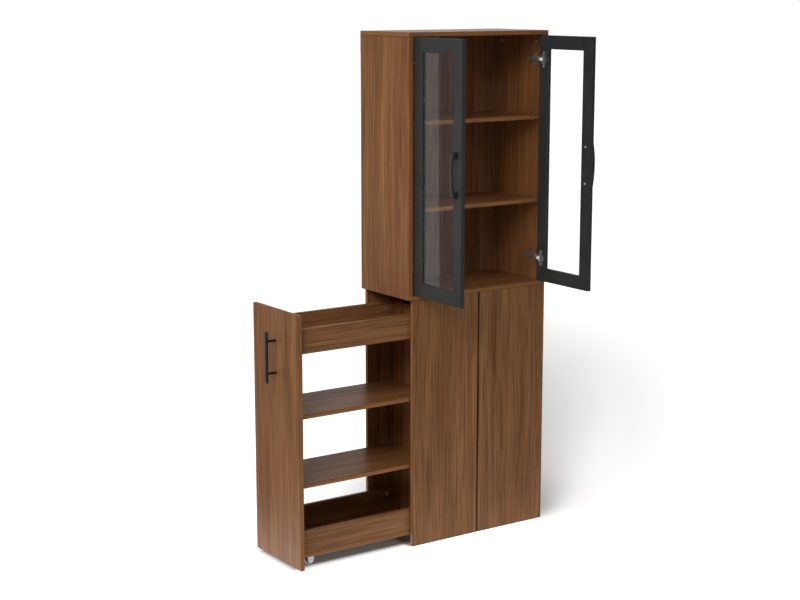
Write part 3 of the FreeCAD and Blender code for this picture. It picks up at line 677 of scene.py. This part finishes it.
def past_box(tree, source, middle, half_x, half_y):
    """Tens of centimetres outside a rectangle on the floor, nothing or less within it."""
    reach = parted(tree, from_point(tree, "SUBTRACT", middle, source))
    beside = worked(tree, "SUBTRACT", worked(tree, "ABSOLUTE", reach["X"]), half_x)
    before = worked(tree, "SUBTRACT", worked(tree, "ABSOLUTE", reach["Y"]), half_y)
    return worked(tree, "MULTIPLY", worked(tree, "MAXIMUM", beside, before), 10.0)


floor_reach, floor_drop = 40.0, 0.0004
floor_mesh = bpy.data.meshes.new("floor")
floor_mesh.from_pydata([(-floor_reach, -floor_reach, 0), (floor_reach, -floor_reach, 0),
                        (floor_reach, floor_reach, 0), (-floor_reach, floor_reach, 0)], [], [(0, 1, 2, 3)])
floor = placed("floor", floor_mesh)
floor.location.z = -floor_drop
floor_paint = bpy.data.materials.new("pale_floor")
floor_paint.use_nodes = True
tree = floor_paint.node_tree
tree.nodes.clear()
ground_place = object_place(tree)

# painted shadow of the cabinet: the floor's glow dims in a wedge from its right front corner, softer and
# paler the further it falls
shadow_corner, shadow_way, shadow_side = (0.37, -0.29, 0.0), (0.670, 0.742, 0.0), (0.742, -0.670, 0.0)
core_light, edge_light, outer_light = 0.25, 0.40, 0.36
soft_start, soft_growth = 0.06, 0.16
from_corner = from_point(tree, "SUBTRACT", shadow_corner, ground_place)
down_shadow = from_point(tree, "DOT_PRODUCT", shadow_way, from_corner)
off_shadow = from_point(tree, "DOT_PRODUCT", shadow_side, from_corner)
past_end = eased(tree, down_shadow, low=1.2, high=5.8)
past_left = eased(tree, off_shadow, low=-0.55, high=-1.0)
before_start = eased(tree, down_shadow, low=0.10, high=-0.25)
lit = worked(tree, "MAXIMUM", worked(tree, "MAXIMUM", past_end, past_left), before_start)
growth = worked(tree, "MULTIPLY", worked(tree, "MAXIMUM", down_shadow, 0.0), soft_growth)
softness = worked(tree, "ADD", growth, soft_start)
past_edge = eased(tree, worked(tree, "DIVIDE", off_shadow, softness), low=-1.0, high=1.0)
well_past = eased(tree, off_shadow, low=0.25, high=1.1)
shade = worked(tree, "ADD", worked(tree, "MULTIPLY", past_edge, edge_light), core_light)
shade = worked(tree, "ADD", shade, worked(tree, "MULTIPLY", well_past, outer_light))
lit_rest = worked(tree, "MULTIPLY", lit, worked(tree, "SUBTRACT", 1.0, shade))
pool = worked(tree, "ADD", shade, lit_rest)

# painted shade: the floor's glow dims under the trolley, moving with it, within the cabinet, and close beside
# and behind it
under_cart = tree.nodes.new("ShaderNodeTexCoord")
under_cart.object = frame["bodies"]["cart"]
past_cart = past_box(tree, under_cart.outputs["Object"], (-0.454, -0.14, 0.0), half_x=0.28, half_y=0.10)
past_cabinet = past_box(tree, ground_place, (0.0, -0.1425, 0.0), half_x=0.285, half_y=0.135)
beside_right = from_point(tree, "DISTANCE", (0.38, -0.08, 0.0), ground_place)
behind = from_point(tree, "DISTANCE", (-0.15, 0.35, 0.0), ground_place)
clear = ramp(tree, past_cart, [(0.0, 0.05), (0.25, 0.60), (0.6, 1.0)])
for reach, stops in ((past_cabinet, [(0.0, 0.04), (0.15, 1.0)]),
                     (beside_right, [(0.08, 0.80), (0.40, 1.0)]),
                     (behind, [(0.15, 0.80), (0.60, 1.0)])):
    clear = worked(tree, "MULTIPLY", clear, ramp(tree, reach, stops))
shown = worked(tree, "MULTIPLY", worked(tree, "MULTIPLY", seen_through(tree), pool), clear)

# painted reflection: for rays off a gloss the floor glows, brightly about the feet of the boards and dully
# elsewhere
reflected_patch_light, reflected_floor_light = 3.5, 0.55
feet = from_point(tree, "DISTANCE", (-0.30, -0.25, 0.0), ground_place)
reflected_patch = ramp(tree, feet, [(0.45, 1.0), (1.0, 0.0)])
mirrored = worked(tree, "ADD", worked(tree, "MULTIPLY", reflected_patch, reflected_patch_light), reflected_floor_light)
chosen = tree.nodes.new("ShaderNodeMix")
tree.links.new(thrown_back(tree), chosen.inputs[0])
tree.links.new(shown, chosen.inputs[2])
tree.links.new(mirrored, chosen.inputs[3])
# painted shade: the floor's own colour darkens under the trolley, moving with it
matt = tree.nodes.new("ShaderNodeBsdfDiffuse")
tree.links.new(ramp(tree, past_cart, [(0.0, 0.30), (0.4, 0.88)]), matt.inputs["Color"])
glow = tree.nodes.new("ShaderNodeEmission")
tree.links.new(chosen.outputs[0], glow.inputs["Strength"])
both = tree.nodes.new("ShaderNodeAddShader")
tree.links.new(matt.outputs[0], both.inputs[0])
tree.links.new(glow.outputs[0], both.inputs[1])
out = tree.nodes.new("ShaderNodeOutputMaterial")
tree.links.new(both.outputs[0], out.inputs["Surface"])
floor_mesh.materials.append(floor_paint)

world = bpy.data.worlds.new("white_ground")
bpy.context.scene.world = world
world.use_nodes = True
tree = world.node_tree
tree.nodes.clear()
gloss_loss, ambient_light = 0.35, 0.225
ground = tree.nodes.new("ShaderNodeBackground")
ground.inputs["Color"].default_value = (1.0, 1.0, 1.0, 1.0)
ground_light = worked(tree, "SUBTRACT", 1.0, worked(tree, "MULTIPLY", thrown_back(tree), gloss_loss))
tree.links.new(ground_light, ground.inputs["Strength"])
ambient = tree.nodes.new("ShaderNodeBackground")
ambient.inputs["Color"].default_value = (1.0, 0.99, 0.97, 1.0)
ambient.inputs["Strength"].default_value = ambient_light
chosen = tree.nodes.new("ShaderNodeMixShader")
tree.links.new(seen_through(tree), chosen.inputs[0])
tree.links.new(ambient.outputs[0], chosen.inputs[1])
tree.links.new(ground.outputs[0], chosen.inputs[2])
out = tree.nodes.new("ShaderNodeOutputWorld")
tree.links.new(chosen.outputs[0], out.inputs["Surface"])

aim, lamp_away, lamp_spread = Vector((0.0, -0.1, 0.85)), 5.0, math.radians(38.0)
for name, way, tilt, size, power in (
        ("front_left_lamp", (-0.830, -0.558), 31.0, 1.20, 458.0),
        ("left_lamp", (-0.990, -0.110), 35.0, 0.80, 175.0),
        ("back_lamp", (0.640, 0.768), 30.0, 1.20, 110.0)):
    lamp = bpy.data.lights.new(name, "SPOT")
    lamp.energy = power
    lamp.shadow_soft_size = size
    lamp.spot_size = lamp_spread
    lamp.spot_blend = 0.5
    level, rise = math.cos(math.radians(tilt)), math.sin(math.radians(tilt))
    offset = Vector((way[0] * level, way[1] * level, rise)) * lamp_away
    lamp_object = placed(name, lamp)
    lamp_object.location = aim + offset
    lamp_object.rotation_euler = (-offset).to_track_quat("-Z", "Y").to_euler()

for name, place, target, size, power in (
        ("front_strip", (0.0, -1.25, 0.03), (0.0, -0.29, 0.10), (1.0, 0.20), 2.1),
        ("left_strip", (-1.45, -0.45, 0.03), (-0.745, -0.14, 0.10), (0.8, 0.20), 2.2),
        ("pane_strip", (-2.12, 3.0, 0.9), (-0.28, -0.44, 1.35), (0.5, 2.2), 5.4)):
    lamp = bpy.data.lights.new(name, "AREA")
    lamp.shape = "RECTANGLE"
    lamp.size, lamp.size_y = size
    lamp.energy = power
    lamp_object = placed(name, lamp)
    lamp_object.location = place
    lamp_object.rotation_euler = (Vector(target) - Vector(place)).to_track_quat("-Z", "Y").to_euler()
    lamp_object.visible_camera = False

camera_tilt, camera_turn = 10.776, -34.532
camera = bpy.data.cameras.new("camera")
camera.sensor_width = 36.0
camera.lens = 72.99
camera.clip_end = 60.0
camera_object = placed("camera", camera)
camera_object.location = (-3.4314, -4.7874, 1.9347)
camera_object.rotation_euler = (math.radians(90.0 - camera_tilt), 0.0, math.radians(camera_turn))
bpy.context.scene.camera = camera_object
bpy.context.scene.view_settings.view_transform = "Standard"
